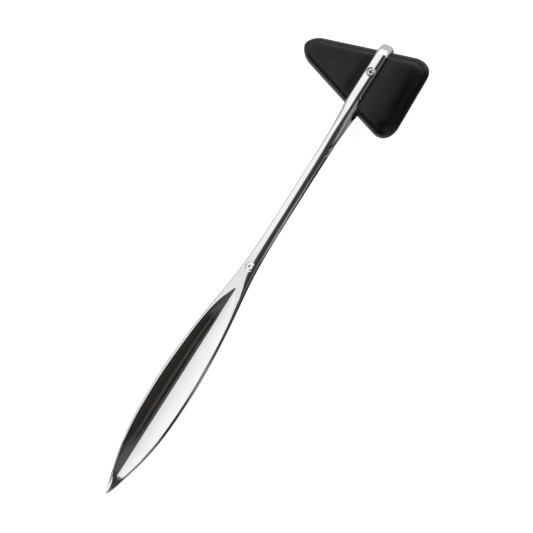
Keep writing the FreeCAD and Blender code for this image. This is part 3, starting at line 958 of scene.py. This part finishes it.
BLADE_TO_SHAFT = (-4.5, -2.5)
CROTCH_TO_BLADE = (-12.5, -11.0)
SHAFT_TO_EYE = (1.5, 3.0)
DARK_CORNER = (0.035, 0.035, 0.034, 1)
DARK_CORNER_FADES = (-38.0, -22.0)
HEAD_SHADOW = (0.05, 0.05, 0.05, 1)
HEAD_SHADOW_STARTS = (1.6, 2.2)
HEAD_SHADOW_FADES = (-74.0, -62.0)
WINDOW_LIGHT = (1.85, 1.92, 2.1, 1)
WINDOW_LIGHT_STARTS = (18.0, 46.0)
FAR_DARK = (0.06, 0.06, 0.062, 1)
FAR_DARK_STARTS = (48.0, 64.0)
HORIZON = (0.55, 0.55, 0.56, 1)
HORIZON_TOP = (0.35, 0.55)
HORIZON_BY_EYE = (12.0, 20.0)
HORIZON_BY_TIP = (29.0, 36.0)
HORIZON_BY_NOSE = (0.1, 0.3)
BELOW_BY_BLADE = (0.02, 0.02, 0.019, 1)
BELOW_BY_SHAFT = (0.25, 0.25, 0.25, 1)
BELOW_BY_NOSE = (0.40, 0.40, 0.41, 1)
BELOW_BY_NOSE_STARTS = (-0.45, 0.15)
BELOW_BY_EYE_STARTS = (0.35, 0.75)
BELOW_BY_TIP = (0.04, 0.04, 0.042, 1)
BELOW_BY_TIP_STARTS = (0.45, 0.75)
BELOW_STARTS = (-0.02, 0.03)


class Room:
    """The world's nodes, with short ways to wire them."""

    def __init__(self):
        world = bpy.data.worlds.new("studio")
        bpy.context.scene.world = world
        world.use_nodes = True
        self.tree = world.node_tree
        direction = self.tree.nodes.new("ShaderNodeTexCoord")
        split = self.tree.nodes.new("ShaderNodeSeparateXYZ")
        self.tree.links.new(direction.outputs["Generated"], split.inputs[0])
        self.x, self.y, self.z = split.outputs

    def wire(self, value, socket):
        if isinstance(value, bpy.types.NodeSocket):
            self.tree.links.new(value, socket)
        else:
            socket.default_value = value

    def math(self, operation, *values):
        made = self.tree.nodes.new("ShaderNodeMath")
        made.operation = operation
        for value, socket in zip(values, made.inputs):
            self.wire(value, socket)
        return made.outputs[0]

    def times(self, first, second):
        return self.math("MULTIPLY", first, second)

    def minus(self, value):
        return self.times(value, -1.0)

    def ramp(self, value, begins, complete):
        """0 where it begins, 1 where it is complete, and an S between them."""
        made = self.tree.nodes.new("ShaderNodeMapRange")
        made.interpolation_type = "SMOOTHSTEP"
        for name, setting in (("Value", value), ("From Min", begins), ("From Max", complete)):
            self.wire(setting, made.inputs[name])
        return made.outputs["Result"]

    def fade(self, value, begins, complete):
        """1 where it begins, 0 where it is complete."""
        return self.math("SUBTRACT", 1.0, self.ramp(value, begins, complete))

    def mix(self, amount, first, second):
        made = self.tree.nodes.new("ShaderNodeMix")
        made.data_type = "RGBA"
        self.wire(amount, made.inputs["Factor"])
        for name, value in (("A", first), ("B", second)):
            self.wire(value, next(item for item in made.inputs if item.name == name and item.type == "RGBA"))
        return next(item for item in made.outputs if item.type == "RGBA")

    def tones(self, across):
        """The colours of TONES_ACROSS, by the angle across."""
        made = self.tree.nodes.new("ShaderNodeValToRGB")
        self.wire(self.math("DIVIDE", self.math("ADD", across, 90.0), 180.0), made.inputs[0])
        stops = made.color_ramp.elements
        while len(stops) > 1:
            stops.remove(stops[-1])
        for i, (angle, *colour) in enumerate(TONES_ACROSS):
            spot = (angle + 90.0) / 180.0
            stop = stops[0] if i == 0 else stops.new(spot)
            stop.position = spot
            stop.color = (*colour, 1)
        return made.outputs[0]


def upper_room(room, across, along):
    """The walls and ceiling: bright towards the rubber's nose, dark with a slanting edge towards its base."""
    dark_side = room.fade(across, *BRIGHT_SIDE)
    past = room.math("MAXIMUM", room.math("ADD", along, -SLANT_START), 0.0)
    past = room.math("MINIMUM", past, SLANT_REACH)
    lean = room.times(room.times(past, dark_side), room.ramp(across, *SLANT_FADES))
    shifted = room.math("ADD", across, room.times(lean, SLANT_RATE))
    shifted = room.math("MINIMUM", shifted, room.math("MAXIMUM", across, SLANT_STOPS))
    colour = room.tones(shifted)
    low_grey = room.times(room.ramp(past, *GREY_WALL_LOW[0]), room.ramp(shifted, *GREY_WALL_LOW[1]))
    high_grey = room.times(room.ramp(room.minus(along), *GREY_WALL_HIGH[0]),
                           room.ramp(across, *GREY_WALL_HIGH[1]))
    colour = room.mix(room.times(room.math("MAXIMUM", low_grey, high_grey), dark_side), colour, GREY_WALL)
    by_blade = room.math("SUBTRACT", room.ramp(along, *CROTCH_TO_BLADE), room.ramp(along, *BLADE_TO_SHAFT))
    colour = room.mix(room.times(by_blade, room.fade(across, *DARK_CORNER_FADES)), colour, DARK_CORNER)
    by_head = room.times(room.ramp(along, *HEAD_SHADOW_STARTS), room.fade(across, *HEAD_SHADOW_FADES))
    colour = room.mix(by_head, colour, HEAD_SHADOW)
    colour = room.mix(room.ramp(along, *WINDOW_LIGHT_STARTS), colour, WINDOW_LIGHT)
    colour = room.mix(room.ramp(room.minus(along), *FAR_DARK_STARTS), colour, FAR_DARK)
    by_tip = room.times(room.ramp(room.minus(along), *HORIZON_BY_TIP), room.ramp(room.y, *HORIZON_BY_NOSE))
    endways = room.math("MAXIMUM", room.ramp(along, *HORIZON_BY_EYE), by_tip)
    return room.mix(room.times(room.fade(room.z, *HORIZON_TOP), endways), colour, HORIZON)


def lower_room(room, along):
    """What the sides of the hammer see below the horizon."""
    by_shaft = room.math("SUBTRACT", room.ramp(along, *BLADE_TO_SHAFT), room.ramp(along, *SHAFT_TO_EYE))
    by_shaft = room.math("MAXIMUM", by_shaft, room.fade(along, *CROTCH_TO_BLADE))
    colour = room.mix(by_shaft, BELOW_BY_BLADE, BELOW_BY_SHAFT)
    colour = room.mix(room.ramp(room.y, *BELOW_BY_NOSE_STARTS), colour, BELOW_BY_NOSE)
    colour = room.mix(room.ramp(room.x, *BELOW_BY_EYE_STARTS), colour, HORIZON)
    return room.mix(room.ramp(room.minus(room.x), *BELOW_BY_TIP_STARTS), colour, BELOW_BY_TIP)


def studio():
    """A soft white room that lights the hammer and fills its reflections."""
    room = Room()
    across = room.math("DEGREES", room.math("ARCTAN2", room.y, room.z))
    along = room.math("DEGREES", room.math("ARCSINE", room.x))
    below = room.ramp(room.minus(room.z), *BELOW_STARTS)
    colour = room.mix(below, upper_room(room, across, along), lower_room(room, along))
    background = room.tree.nodes["Background"]
    room.wire(colour, background.inputs["Color"])
    background.inputs["Strength"].default_value = 1.0


aim_camera()
pale_stage()
studio()
bpy.context.scene.view_settings.view_transform = "Standard"
